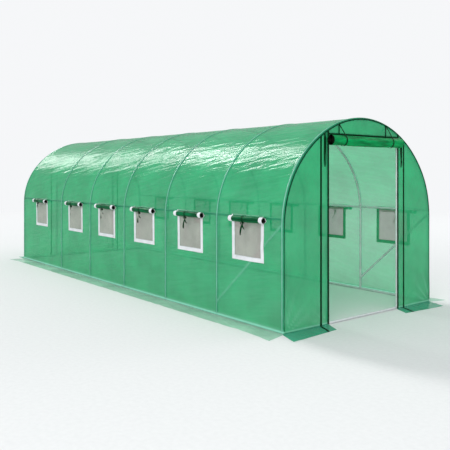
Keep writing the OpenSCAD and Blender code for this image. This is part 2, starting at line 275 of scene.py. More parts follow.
class TunnelSizes(PropertyGroup):
    """Sizes of the fabric that a user would change"""

    sheet_seat: length("Sheet Seat", "Depth of the sheet under the cover's outline on a tube", SHEET_SEAT)
    hoop_ridge: length("Hoop Ridge", "Drop of the sheet beside each tube that it is stretched over", 0.005)
    roof_sag: length("Roof Sag", "Inward sag of the roof between two hoops", 0.003)
    wall_sag: length("Wall Sag", "Inward sag of the side walls between two hoops", 0.006)
    roof_crease: length("Roof Creases", "Depth of the long creases in the roof", 0.0034)
    wall_crease: length("Wall Creases", "Depth of the creases in the walls", 0.0014)
    corner_fold: length("Corner Folds", "Depth of the folds that spread from the foot of each end wall", 0.010)
    ground_wave: length("Ground Waves", "Height of the waves in the sheet on the ground", 0.010)
    binding_w: length("Binding Width", "Width of the dark tape round each end arch", 0.013)
    roll_lump: length("Roll Lumps", "Depth of the lumps and creases in a rolled-up sheet", 0.005)


class TunnelColours(PropertyGroup):
    """Colours of the finishes"""

    cover: colour("Cover", "Green woven sheet", (0.022, 0.46, 0.20))
    # Painted light: the cover's own sheet painted paler where it lies on the ground, for the strong light that falls
    # on it there
    skirt: colour("Skirt", "Paler sheet that lies on the ground", (0.50, 0.75, 0.61))
    # Painted light: the end walls' sheet tinted bluer and a little paler on the flaps, for the blue skylight that
    # falls on them in shade
    flap: colour("Flap", "Bluer sheet of the flaps beside the door", (0.05, 0.47, 0.29))
    roll: colour("Rolled Door", "Deep green of the sheet in several layers", (0.001, 0.205, 0.055))
    window_roll: colour("Rolled Window Flap", "Darker green of the window flaps", (0.001, 0.085, 0.028))
    core: colour("Roll Core", "Shaded windings inside a roll", (0.012, 0.014, 0.010))
    dark_tape: colour("Dark Tape", "Zip tapes and ties", (0.0008, 0.030, 0.008))
    binding: colour("Arch Binding", "Dark green tape round the end arches", (0.002, 0.055, 0.026))
    white_tape: colour("White Tape", "Tape round the windows", (0.80, 0.81, 0.84))
    screen: colour("Insect Screen", "Grey mesh in the windows", (0.41, 0.37, 0.35))
    steel: colour("Steel", "Galvanised tubes", (0.64, 0.66, 0.67))
    floor: colour("Floor", "Pale studio floor", (0.80, 0.80, 0.79))


# Helpers for finishes

def new_material(name):
    material = bpy.data.materials.new(name)
    material.use_nodes = True
    material.node_tree.nodes.clear()
    return material, material.node_tree


def node(tree, kind, inputs=None, **settings):
    """Shader node with its settings, and with values or links on its inputs."""
    made = tree.nodes.new("ShaderNode" + kind)
    for key, value in settings.items():
        setattr(made, key, value)
    for key, value in (inputs or {}).items():
        if isinstance(value, NodeSocket):
            tree.links.new(value, made.inputs[key])
        else:
            made.inputs[key].default_value = value
    return made


def surface(tree, shader):
    node(tree, "OutputMaterial", {"Surface": shader})


def attribute(tree, name):
    return node(tree, "Attribute", attribute_name=name).outputs["Fac"]


def flat_space(tree, size=(1, 1), turn=0.0):
    """Coordinates on the flat cloth for a pattern of a length and width in metres, turned on the cloth."""
    flat = node(tree, "UVMap", uv_map="flat").outputs["UV"]
    return node(tree, "Mapping", {"Vector": flat, "Scale": (*size, 1), "Rotation": (0, 0, turn)},
                vector_type="TEXTURE").outputs["Vector"]


def object_space(tree):
    place = node(tree, "TexCoord").outputs["Object"]
    return node(tree, "Mapping", {"Vector": place}).outputs["Vector"]


def cloud(tree, space, scale, detail=3.0, roughness=0.5):
    return node(tree, "TexNoise", {"Vector": space, "Scale": scale, "Detail": detail,
                                   "Roughness": roughness}).outputs["Fac"]


def bands(tree, space, period, direction):
    """Even bands with a period in metres."""
    return node(tree, "TexWave", {"Vector": space, "Scale": math.pi / (10 * period), "Distortion": 0.0},
                wave_type="BANDS", bands_direction=direction).outputs["Fac"]


def ranged(tree, value, from_low, from_high, to_low=0.0, to_high=1.0):
    return node(tree, "MapRange", {"Value": value, "From Min": from_low, "From Max": from_high,
                                   "To Min": to_low, "To Max": to_high}).outputs["Result"]


def maths(tree, operation, first, second):
    return node(tree, "Math", {0: first, 1: second}, operation=operation).outputs[0]


def added(tree, first, second, factor):
    """First value with a share of the second one added to it."""
    return maths(tree, "ADD", first, maths(tree, "MULTIPLY", second, factor))


def blended(tree, factor, first, second):
    """Colour between two colours."""
    return node(tree, "Mix", {0: factor, 6: first, 7: second}, data_type="RGBA").outputs[2]


def tint(value, factor):
    """Colour made lighter or darker, with full alpha."""
    return tuple(min(1.0, c * factor) for c in value) + (1.0,)


def mottled(tree, value, field, start, end, dark, light):
    """Colour that goes from a darker to a lighter tint as a field rises from start to end."""
    return blended(tree, ranged(tree, field, start, end), tint(value, dark), tint(value, light))


def bump(tree, height, strength, distance):
    return node(tree, "Bump", {"Height": height, "Strength": strength, "Distance": distance}).outputs["Normal"]


def mixed(tree, factor, first, second):
    """Shader between two shaders."""
    return node(tree, "MixShader", {0: factor, 1: first, 2: second}).outputs[0]


def principled(tree, paint, roughness, normal, **sockets):
    """Shader of a solid surface; further sockets are named with underscores for spaces."""
    extra = {key.replace("_", " "): value for key, value in sockets.items()}
    return node(tree, "BsdfPrincipled", {"Base Color": paint, "Roughness": roughness, "Normal": normal,
                                         **extra}).outputs[0]


def seen_directly(tree):
    """1 for the rays that show the backdrop: to the camera, in gloss and through clear things."""
    ray = node(tree, "LightPath").outputs
    return maths(tree, "MAXIMUM", ray["Is Camera Ray"],
                 maths(tree, "MAXIMUM", ray["Is Glossy Ray"], ray["Is Transmission Ray"]))


# Finishes

THREAD_PERIOD = 0.012
STREAK = (0.46, 0.042)
CRINKLE = (0.18, 0.020)
ROLL_CREASE = (0.24, 0.026)
RIB_PERIOD = 0.0022
MESH_PERIOD = 0.0026
STITCH_INSET = 0.004
STITCH_W = 0.0009
# Pale mint of the painted highlight lines over the tubes and along the feet of the sheets
PAINTED_HIGHLIGHT_COLOUR = (0.48, 0.97, 0.80, 1.0)
GAP_COLOUR = (0.85, 1.0, 0.93, 1.0)
OPEN_GAP = (1.0, 1.0, 1.0, 1.0)


def thread_grid(tree):
    """Raised grid of thicker threads in the woven sheet."""
    threads = flat_space(tree)
    return maths(tree, "MAXIMUM",
                 ranged(tree, bands(tree, threads, THREAD_PERIOD, "X"), 0.86, 1.0),
                 ranged(tree, bands(tree, threads, THREAD_PERIOD, "Y"), 0.86, 1.0))


def film_finish(name, value, clear, through, turn, crease):
    """Woven translucent sheet with long creases, a grid of threads and a soft gloss, with painted highlights on the
    crests of its creases and painted highlight and painted shade lines over the tubes.

    clear is the open share between its threads, through the share of the light that it passes on, and turn and
    crease are the direction and the strength of its creases.
    """
    material, tree = new_material(name)
    grid = thread_grid(tree)
    rubbed, pressed = attribute(tree, "rubbed"), attribute(tree, "pressed")
    streaks = cloud(tree, flat_space(tree, STREAK, turn), 1.0, 2.0)
    crinkle = cloud(tree, flat_space(tree, CRINKLE, 1.5 * turn), 1.0, 2.0)
    stain = cloud(tree, flat_space(tree), 2.2, 4.0, 0.55)
    red, green, blue = value
    paint = mottled(tree, value, stain, 0.35, 0.65, 0.8, 1.15)
    # Painted highlight: lighter mint on the crests of the long creases
    paint = blended(tree, ranged(tree, streaks, 0.42, 0.78, 0.0, 0.3 * crease ** 2), paint,
                    (0.5 * red + 0.14, 0.5 * green + 0.40, 0.5 * blue + 0.28, 1.0))
    paint = blended(tree, maths(tree, "MULTIPLY", grid, 0.15), paint, tint(value, 1.5))
    # Painted shade: darker, bluer teal where the sheet lies on a hoop or a rail
    paint = blended(tree, pressed, paint, (0.35 * red, 0.55 * green, 0.8 * blue, 1.0))
    # Painted highlight: pale mint lines over the hoops, the brace and the foot of the sheet
    paint = blended(tree, rubbed, paint, PAINTED_HIGHLIGHT_COLOUR)
    height = added(tree, added(tree, streaks, crinkle, 0.28), grid, 0.012)
    normal = bump(tree, height, crease, 0.0070)
    gloss = principled(tree, paint, ranged(tree, crinkle, 0.3, 0.7, 0.11, 0.19), normal,
                       Specular_IOR_Level=0.25)
    glow = node(tree, "BsdfTranslucent", {"Color": paint, "Normal": normal}).outputs[0]
    gap = node(tree, "BsdfTransparent", {"Color": GAP_COLOUR}).outputs[0]
    up = node(tree, "SeparateXYZ", {0: object_space(tree)}).outputs["Z"]
    covered = maths(tree, "MULTIPLY", maths(tree, "MAXIMUM", rubbed, pressed), 0.65 * clear)
    open_share = maths(tree, "SUBTRACT", ranged(tree, up, 0.8, 1.4, clear, 0.7 * clear), covered)
    surface(tree, mixed(tree, open_share, mixed(tree, through, gloss, glow), gap))
    return material


def rolled_finish(name, value):
    """The same woven sheet in many layers, so that it is deep and opaque, with painted highlight and painted shade
    along its creases.
    """
    material, tree = new_material(name)
    grid = thread_grid(tree)
    creases = cloud(tree, flat_space(tree, ROLL_CREASE), 1.0, 2.0)
    # Painted highlight and painted shade: the crease field paints the folds darker and their crests much lighter
    paint = mottled(tree, value, creases, 0.34, 0.68, 0.55, 2.0)
    paint = blended(tree, maths(tree, "MULTIPLY", grid, 0.2), paint, tint(value, 1.7))
    surface(tree, principled(tree, paint, ranged(tree, creases, 0.3, 0.7, 0.26, 0.42),
                             bump(tree, added(tree, creases, grid, 0.05), 0.8, 0.008),
                             Specular_IOR_Level=0.03))
    return material


def webbing_finish(name, value):
    """Narrow woven tape with ribs across it and worn edges."""
    material, tree = new_material(name)
    ribs = bands(tree, flat_space(tree), RIB_PERIOD, "X")
    fuzz = cloud(tree, object_space(tree), 420.0, 2.0)
    wear = cloud(tree, object_space(tree), 14.0, 4.0, 0.6)
    paint = mottled(tree, value, wear, 0.35, 0.75, 0.8, 1.5)
    surface(tree, principled(tree, paint, ranged(tree, fuzz, 0.3, 0.7, 0.55, 0.8),
                             bump(tree, added(tree, ribs, fuzz, 0.6), 0.5, 0.0007),
                             Specular_IOR_Level=0.05))
    return material


def tape_finish(name, value):
    """White hook-and-loop tape: a dull pile, two rows of stitches and a little dust."""
    material, tree = new_material(name)
    pile = cloud(tree, object_space(tree), 650.0, 3.0, 0.6)
    dust = cloud(tree, object_space(tree), 9.0, 4.0, 0.6)
    rim = attribute(tree, "rim")
    outer, inner = (node(tree, "Math", {0: rim, 1: inset, 2: STITCH_W}, operation="COMPARE").outputs[0]
                    for inset in (STITCH_INSET, FRAME_W - STITCH_INSET))
    rows = maths(tree, "MAXIMUM", outer, inner)
    paint = mottled(tree, value, dust, 0.4, 0.75, 1.0, 0.86)
    paint = blended(tree, maths(tree, "MULTIPLY", rows, 0.4), paint, tint(value, 0.55))
    height = maths(tree, "SUBTRACT", pile, maths(tree, "MULTIPLY", rows, 1.5))
    surface(tree, principled(tree, paint, ranged(tree, pile, 0.3, 0.7, 0.7, 0.9),
                             bump(tree, height, 0.5, 0.0008), Specular_IOR_Level=0.25))
    return material


def screen_finish(name, value):
    """Fine insect mesh: threads with open gaps between them."""
    material, tree = new_material(name)
    space = flat_space(tree)
    weave = maths(tree, "MAXIMUM", bands(tree, space, MESH_PERIOD, "X"), bands(tree, space, MESH_PERIOD, "Y"))
    shade = cloud(tree, object_space(tree), 6.0, 4.0, 0.6)
    paint = mottled(tree, value, shade, 0.3, 0.7, 0.82, 1.12)
    thread = principled(tree, paint, ranged(tree, shade, 0.3, 0.7, 0.6, 0.75), bump(tree, weave, 0.5, 0.0009),
                        Specular_IOR_Level=0.25)
    gap = node(tree, "BsdfTransparent", {"Color": OPEN_GAP}).outputs[0]
    surface(tree, mixed(tree, ranged(tree, weave, 0.35, 0.75, 0.42, 0.08), thread, gap))
    return material


def steel_finish(name, value):
    """Galvanised tube: a cloudy zinc coat with a satin gloss."""
    material, tree = new_material(name)
    space = object_space(tree)
    spangle = node(tree, "TexVoronoi", {"Vector": space, "Scale": 160.0}).outputs["Distance"]
    cloudy = cloud(tree, space, 11.0, 4.0, 0.6)
    zinc = maths(tree, "ADD", maths(tree, "MULTIPLY", spangle, 0.35), cloudy)
    paint = mottled(tree, value, zinc, 0.35, 0.95, 0.78, 1.12)
    surface(tree, principled(tree, paint, ranged(tree, zinc, 0.3, 0.9, 0.34, 0.52),
                             bump(tree, zinc, 0.2, 0.0006), Metallic=0.3))
    return material


# Each finish: its maker, its material's name, its colour and the maker's further values
FINISHES = {
    "cover": (film_finish, "cover_film", "cover", 0.30, 0.50, math.radians(10), 0.85),
    "end": (film_finish, "end_wall_film", "cover", 0.27, 0.46, math.radians(50), 0.35),
    "flap": (film_finish, "flap_film", "flap", 0.24, 0.3, math.radians(20), 1.0),
    "ground": (film_finish, "skirt_film", "skirt", 0.27, 0.3, math.radians(70), 0.9),
    "roll": (rolled_finish, "rolled_film", "roll"),
    "window_roll": (rolled_finish, "rolled_window_film", "window_roll"),
    "core": (rolled_finish, "roll_core_film", "core"),
    "webbing": (webbing_finish, "dark_webbing", "dark_tape"),
    "binding": (webbing_finish, "arch_binding", "binding"),
    "tape": (tape_finish, "white_tape", "white_tape"),
    "screen": (screen_finish, "insect_mesh", "screen"),
    "steel": (steel_finish, "galvanised_steel", "steel"),
}
MADE_FINISHES = {}


def finish(kind):
    """One shared material for each finish."""
    if kind not in MADE_FINISHES:
        maker, name, paint, *values = FINISHES[kind]
        MADE_FINISHES[kind] = maker(name, getattr(bpy.context.scene.tunnel_colours, paint), *values)
    return MADE_FINISHES[kind]


# Helpers for shapes

def steps(count):
    """Even steps from 0 to 1."""
    return [i / count for i in range(count + 1)]


def lines_between(start, end, step, through=()):
    """Rising grid lines no further apart than step, which also run through the given ones."""
    marks = sorted({start, end, *(m for m in through if start < m < end)})
    lines = [marks[0]]
    for a, b in zip(marks, marks[1:]):
        count = max(1, math.ceil((b - a) / step - 1e-6))
        lines += [a + (b - a) * (i + 1) / count for i in range(count)]
    return lines


def new_cloth():
    """Empty mesh with a map of the flat cloth."""
    bm = bmesh.new()
    bm.loops.layers.uv.new("flat")
    return bm


def grid_mesh(columns, rows, place, flat=None, leave_out=None):
    """Grid through the column and row values whose points a function puts in place."""
    bm = new_cloth()
    cloth = bm.loops.layers.uv["flat"]
    bmesh.ops.create_grid(bm, x_segments=len(columns) - 1, y_segments=len(rows) - 1, size=0.5)
    spots = {}
    for v in bm.verts:
        spots[v] = (columns[round((v.co.x + 0.5) * (len(columns) - 1))],
                    rows[round((v.co.y + 0.5) * (len(rows) - 1))])
    if leave_out:
        gone = []
        for face in bm.faces:
            corners = [spots[v] for v in face.verts]
            if leave_out(sum(c for c, r in corners) / 4, sum(r for c, r in corners) / 4):
                gone.append(face)
        bmesh.ops.delete(bm, geom=gone, context="FACES")
    for face in bm.faces:
        for loop in face.loops:
            spot = spots[loop.vert]
            loop[cloth].uv = flat(*spot) if flat else spot
    for v in bm.verts:
        v.co = place(*spots[v])
    return bm


def mark(bm, name, value):
    """Stores a value for each point of a sheet that a function gives for its flat coordinates."""
    layer = bm.verts.layers.float.new(name)
    cloth = bm.loops.layers.uv["flat"]
    for face in bm.faces:
        for loop in face.loops:
            loop.vert[layer] = value(*loop[cloth].uv)


def join_into(bm, other):
    """Adds one mesh to another."""
    mesh = bpy.data.meshes.new("joined")
    other.to_mesh(mesh)
    other.free()
    bm.from_mesh(mesh)
    bpy.data.meshes.remove(mesh)


def turn_over(bm):
    """Turns the faces of a sheet to its other side."""
    bmesh.ops.reverse_faces(bm, faces=bm.faces[:])


def thicken(bm, thickness=TAPE_T):
    """Gives a sheet a thickness behind its face."""
    bmesh.ops.solidify(bm, geom=bm.faces[:], thickness=thickness)


def ribbon(path, across, width):
    """Flat strap along a path, with its width in the direction that a function gives for each point."""
    reach = [0.0]
    for a, b in zip(path, path[1:]):
        reach.append(reach[-1] + (b - a).length)
    strap = grid_mesh(list(range(len(path))), [t - 0.5 for t in steps(3)],
                      lambda i, r: path[i] + across(i) * width * r,
                      flat=lambda i, r: (reach[i], r * width))
    thicken(strap)
    return strap


def add_piece(name, bm, finishes, nodes=()):
    """Object from a mesh that rides on the frame and stands for its CAD nodes."""
    mesh = bpy.data.meshes.new(name)
    bm.to_mesh(mesh)
    bm.free()
    for face in mesh.polygons:
        face.use_smooth = True
    for kind in finishes:
        mesh.materials.append(finish(kind))
    piece = bpy.data.objects.new(name, mesh)
    bpy.context.scene.collection.objects.link(piece)
    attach(piece, "root")
    if nodes:
        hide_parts(*nodes)
    return piece


def drawn(layer, a, b, shift=0.0):
    """Smooth random value between about -1 and 1 from a layer of noise."""
    along, across, seed = NOISE[layer]
    return noise.noise(Vector((a / along, b / across, seed + shift)))


def near(distance, width):
    """1 at a line, falling to 0 at some widths from it."""
    return math.exp(-(distance / width) ** 2)


def share(value, start, end):
    """Share of the way from start to end, from 0 to 1."""
    return min(max((value - start) / (end - start), 0.0), 1.0)


def smooth(t):
    return t * t * (3 - 2 * t)


def pillow(t):
    """0 at both ends and 1 in the middle of a stretch."""
    return (4 * t * (1 - t)) ** 0.75


# Shape of the cover

def arch_at(s):
    """Point (y, z) of the cover's outline and its outward direction, s metres from the left foot."""
    side = -1
    if s > HALF_ARCH:
        side, s = 1, ARCH_L - s
    if s <= SPRING_H:
        return side * HALF_W, s, side, 0.0
    if s <= CROWN_START:
        a = (s - SPRING_H) / SHOULDER_R
        return (side * (SHOULDER_OFFSET + SHOULDER_R * math.cos(a)), SPRING_H + SHOULDER_R * math.sin(a),
                side * math.cos(a), math.sin(a))
    a = TURN + (s - CROWN_START) / CROWN_R
    return side * CROWN_R * math.cos(a), CROWN_Z + CROWN_R * math.sin(a), side * math.cos(a), math.sin(a)


def along_arch(z):
    """Distance along the outline up to a height on the left wall or shoulder."""
    return z if z <= SPRING_H else SPRING_H + SHOULDER_R * math.asin((z - SPRING_H) / SHOULDER_R)


def from_foot(s):
    """Distance along the outline from its nearer foot."""
    return min(s, ARCH_L - s)


def crown_height(y, inset):
    """Height of the crown arc, less an inset, at a distance y from the middle."""
    return CROWN_Z + math.sqrt((CROWN_R - inset) ** 2 - y * y)


RAIL_S = along_arch(RAIL_H)
UPPER_RAILS = [RAIL_S, HALF_ARCH, ARCH_L - RAIL_S]
RAILS = [TUBE_R, *UPPER_RAILS, ARCH_L - TUBE_R]
EDGE_TURN_R = HALF_L - HOOPS[-1] - 0.0006
ROOF_START, ROOF_FULL = RAIL_S - 0.05, RAIL_S + 0.35
CROWN_CALM = 1.9


def span_of(value, marks):
    """The two marks that a value lies between."""
    i = min(max(bisect.bisect(marks, value), 1), len(marks) - 1)
    return marks[i - 1], marks[i]


def creases(x, s, sizes):
    """Height of the creases at a point of the cover."""
    h = from_foot(s)
    crown = smooth(share(h, CROWN_CALM, HALF_ARCH))
    roof = smooth(share(h, ROOF_START, ROOF_FULL)) * (1 - 0.45 * crown)
    along = x + CREASE_SLOPE * s
    long_fold = drawn("long_fold", along, s - CREASE_SLOPE * x)
    short_fold = drawn("short_fold", along, s - 0.8 * CREASE_SLOPE * x)
    ridge = 1 - 2 * abs(drawn("ridge", x + 0.2 * s, s - 0.42 * x))
    folds = 0.8 * long_fold + 0.38 * short_fold + 0.35 * ridge * abs(ridge)
    a, b = span_of(x, HOOPS)
    reach = min(abs(x - a), abs(x - b))
    puckers = 0.5 * drawn("pucker", x, s) * math.exp(-reach / 0.10)
    billow = drawn("billow", x, s)
    foot = drawn("foot_fold", x + 0.6 * s, s - 0.6 * x) * near(h, 0.22)
    return (sizes.roof_crease * roof * (folds + 0.7 * puckers)
            + sizes.wall_crease * (1 - roof) * (billow + 0.8 * foot + 0.6 * puckers))


def brace_distance(x, h):
    """Distance of a point on a wall from the corner brace, which is in the bay at the door's end."""
    if x < HOOPS[-2]:
        return 1.0
    run, rise = HOOPS[-1] - HOOPS[-2], BRACE_TOP_H - BRACE_FOOT_H
    return abs((h - BRACE_FOOT_H) * run - (x - HOOPS[-2]) * rise) / math.hypot(run, rise)


def cover_depth(x, s, sizes):
    """Depth of the sheet under the cover's outline at x along the tunnel and s along the arch."""
    a, b = span_of(x, HOOPS)
    c, d = span_of(s, RAILS)
    brace = brace_distance(x, from_foot(s))
    away = {"hoop": min(abs(x - a), abs(x - b)), "rail": min(abs(s - c), abs(s - d)), "brace": brace}
    free = math.prod(1 - near(away[tube], SEATED[tube]) for tube in away)
    loose = math.prod(1 - near(away[tube], STILL[tube]) for tube in away)
    sag = sizes.wall_sag if from_foot(s) < RAIL_S else sizes.roof_sag * math.sqrt((b - a) / BAY_L)
    sag = sag * pillow(share(x, a, b)) * pillow(share(s, c, d))
    depth = sizes.hoop_ridge * free + sag * (1 - near(brace, 0.15)) - creases(x, s, sizes) * loose
    beyond = max(x - HOOPS[-1], HOOPS[0] - x, 0.0)
    turned = EDGE_TURN_R - math.sqrt(max(EDGE_TURN_R ** 2 - beyond ** 2, 0.0))
    return sizes.sheet_seat + depth * (1 - share(beyond, 0.0, 0.008)) + turned


def cover_point(x, s, sizes, lift=0.0):
    y, z, out_y, out_z = arch_at(s)
    d = lift - cover_depth(x, s, sizes)
    return Vector((x, y + out_y * d, max(z + out_z * d, 0.0)))


def window_opening(x, s):
    """Whether a point of the cover lies inside a window's opening."""
    inside = along_arch(WINDOW_SILL + FRAME_W) < from_foot(s) < along_arch(WINDOW_TOP - FRAME_W)
    return inside and any(abs(x - m) < WINDOW_HALF_W - FRAME_W for m in BAY_MIDDLES)


class TUNNEL_OT_frame(Operator):
    """Give the steel tubes a galvanised finish and bolt them together"""

    bl_idname = "tunnel.frame"
    bl_label = "Steel Frame"

    def execute(self, context):
        for name in STEEL_NODES:
            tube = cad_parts[name]
            tube.data.materials.clear()
            tube.data.materials.append(finish("steel"))
        bm = new_cloth()
        for x in HOOPS:
            for s in UPPER_RAILS:
                join_into(bm, self.bolt(x, s))
        add_piece("frame_bolts", bm, ["steel"])
        return {"FINISHED"}

    def bolt(self, x, s):
        """Hexagon head with a washer on the inner side of a hoop."""
        y, z, out_y, out_z = arch_at(s)
        inward = Vector((0, -out_y, -out_z))
        seat = Vector((x, y, z)) + inward * (2 * TUBE_R + SHEET_SEAT)
        turn = inward.to_track_quat("Z", "X").to_matrix().to_4x4()
        bm = new_cloth()
        for segments, radius, start, height in BOLT_PARTS:
            made = bmesh.ops.create_cone(bm, cap_ends=True, segments=segments, radius1=radius,
                                         radius2=radius, depth=height,
                                         matrix=Matrix.Translation((0, 0, start + height / 2)))
            edges = {e for v in made["verts"] for e in v.link_edges}
            rims = [e for e in edges if abs(e.verts[0].co.z - e.verts[1].co.z) < 1e-6]
            bmesh.ops.bevel(bm, geom=rims, offset=BOLT_BEVEL, segments=1, profile=0.5, affect="EDGES",
                            material=-1)
        bmesh.ops.transform(bm, matrix=Matrix.Translation(seat) @ turn, verts=bm.verts[:])
        return bm


class TUNNEL_OT_cover(Operator):
    """Stretch one sheet over the hoops and down both walls, with the window openings cut out"""

    bl_idname = "tunnel.cover"
    bl_label = "Cover Sheet"

    def execute(self, context):
        sizes = context.scene.tunnel_sizes
        half = WINDOW_HALF_W - FRAME_W
        sill, head = along_arch(WINDOW_SILL + FRAME_W), along_arch(WINDOW_TOP - FRAME_W)
        end = HOOPS[-1] + EDGE_TURN_R
        turns = [EDGE_TURN_R * math.sin(math.radians(15 * k)) for k in range(1, 6)]
        columns = lines_between(HOOPS[-2], HOOPS[-1], BRACE_COLUMN)
        for side in (-1, 1):
            columns += [m + side * half for m in BAY_MIDDLES]
            columns += [x + side * step for x in HOOPS for step in HOOP_STEPS]
            columns += [side * (HOOPS[-1] + turn) for turn in turns]
        levels = [sill, head, *FOOT_LEVELS]
        levels += [ARCH_L - s for s in levels]
        levels += [s + step for s in UPPER_RAILS for step in RAIL_STEPS]
        bm = grid_mesh(lines_between(-end, end, COVER_COLUMN, columns),
                       lines_between(FOOT, ARCH_L - FOOT, COVER_ROW, levels),
                       lambda x, s: cover_point(x, s, sizes), leave_out=window_opening)
        # Strengths of the painted highlight and of the painted shade at each point of the sheet
        mark(bm, "rubbed", self.rubbed)
        mark(bm, "pressed", self.pressed)
        cover = add_piece("cover_sheet", bm, ["cover"], COVER_NODES)
        return {"FINISHED"}

    def rubbed(self, x, s):
        """Strength of the painted highlight: pale lines over the hoops and the brace, and a pale line along the foot
        over the base rail.
        """
        h = from_foot(s)
        hoop = near(min(abs(x - hoop) for hoop in HOOPS), PAINTED_HIGHLIGHT["hoop"])
        hoop *= 0.85 + 0.35 * drawn("hoop_highlight", x, s)
        brace = 0.35 * near(brace_distance(x, h), PAINTED_HIGHLIGHT["brace"]) * (h < BRACE_TOP_H)
        return min(max(hoop, brace, near(h - FOOT_LINE, PAINTED_HIGHLIGHT["base"])), 1.0)

    def pressed(self, x, s):
        """Strength of the painted shade: darker teal where the sheet lies close on a hoop or a rail."""
        hoop = near(min(abs(x - hoop) for hoop in HOOPS), PAINTED_TUBE_SHADE["hoop"])
        rail = near(min(abs(s - rail) for rail in UPPER_RAILS), PAINTED_TUBE_SHADE["rail"])
        return 0.65 * max(hoop, 0.7 * rail)


# Sheet on the ground

def ground_height(x, y, sizes, out):
    """Height of the waves in the sheet on the ground, which start beyond its bend."""
    wave = drawn("ground_wave", x, y) + 0.5 * drawn("ground_ripple", x, y)
    return GROUND_GAP + sizes.ground_wave * smooth(share(out, 0.015, 0.10)) * max(wave, 0.0)


def ground_rows(count):
    """Rows down the foot of a wall and round the bend, and a number of rows on the ground."""
    return BEND_ROWS + [1 + t for t in steps(count)[1:]]


def bend_out(r, width):
    """Height above the ground and distance from the wall, r from 0 on the wall to 1 at the bend's end, to 2."""
    if r <= BEND_TURN:
        return BEND_START + (BEND_R - BEND_START) * r / BEND_TURN, 0.0
    if r <= 1:
        a = (r - BEND_TURN) / (1 - BEND_TURN) * math.pi / 2
        return BEND_R * (1 - math.sin(a)), BEND_R * (1 - math.cos(a))
    return 0.0, BEND_R + (width - BEND_R) * (r - 1)


class TUNNEL_OT_skirts(Operator):
    """Lay the skirts that run on from both walls on the ground"""

    bl_idname = "tunnel.skirts"
    bl_label = "Skirts"

    def execute(self, context):
        sizes = context.scene.tunnel_sizes
        columns = lines_between(-HALF_L, HALF_L, SKIRT_COLUMN)
        for side, name in WALLS:
            bm = grid_mesh(columns, ground_rows(14), lambda x, r: self.place(x, r, side, sizes),
                           flat=lambda x, r: (r * SKIRT_W, x))
            if side == 1:
                turn_over(bm)
            skirt = add_piece(f"skirt_{name}_sheet", bm, ["ground"], [f"skirt_{name}"])
        return {"FINISHED"}

    def place(self, x, r, side, sizes):
        taper = share(abs(x), HALF_L - SKIRT_TAPER_L, HALF_L)
        waver = SKIRT_WAVER * abs(drawn("skirt_edge", x, side))
        width = SKIRT_W + (SKIRT_END_W - SKIRT_W) * taper - waver
        z, out = bend_out(r, width)
        stretched = x * (1 + SKIRT_TIP * out / SKIRT_END_W / HALF_L)
        wall = cover_depth(x, max(z, 0.004), sizes) if abs(x) < HOOPS[-1] else 0.003
        lean = (GROUND_GAP - wall) * (1 - share(out, 0.0, 0.05))
        return Vector((stretched, side * (HALF_W + lean + out),
                       z + ground_height(stretched, side * out, sizes, out)))


# End walls

def corner_rays(y, z, side):
    """Folds of an end wall that spread from its lower corners, from -1 to 1."""
    folds = 0.0
    for foot_y, size in FOLD_FEET:
        across, up = foot_y - abs(y), z + 0.01
        r = math.hypot(across, up)
        angle = math.atan2(up, across)
        rays = math.sin(FOLD_RAYS * angle + 2.5 * drawn("corner_ray", angle, r, side + size))
        folds += size * rays * min(r / 0.10, 1.0) * near(r, FOLD_REACH)
    return folds


def end_bulge(y, z, sizes, side):
    """How far an end wall stands out of its plane."""
    slack = drawn("end_slack", y, z, side) + 0.4 * drawn("end_ripple", y, z, side)
    off_post = 1 - near(abs(y) - POST_Y, 0.03)
    folds = sizes.corner_fold * corner_rays(y, z, side)
    return (folds + END_SLACK * slack * off_post) * share(z, 0.0, 0.05)


def end_x(y, z, sizes, side, lift=0.0):
    """Place of an end wall along the tunnel; side is 1 at the front and -1 at the rear."""
    return side * (HALF_L - END_INSET + lift + 0.6 * abs(end_bulge(y, z, sizes, side)))


def end_point(y, z, sizes, side, lift=0.0):
    return Vector((end_x(y, z, sizes, side, lift), y, z))


def door_edge(s):
    """Point (y, z) of the door's outline that lies across from a point of the arch."""
    h = from_foot(s)
    y, z = -DOOR_HALF, h
    if h > DOOR_CORNER_S:
        y, z = -DOOR_HALF * (HALF_ARCH - h) / (HALF_ARCH - DOOR_CORNER_S), DOOR_H
    elif h > SPRING_H:
        z = SPRING_H + (DOOR_H - SPRING_H) * (h - SPRING_H) / (DOOR_CORNER_S - SPRING_H)
    return (y if s <= HALF_ARCH else -y), z


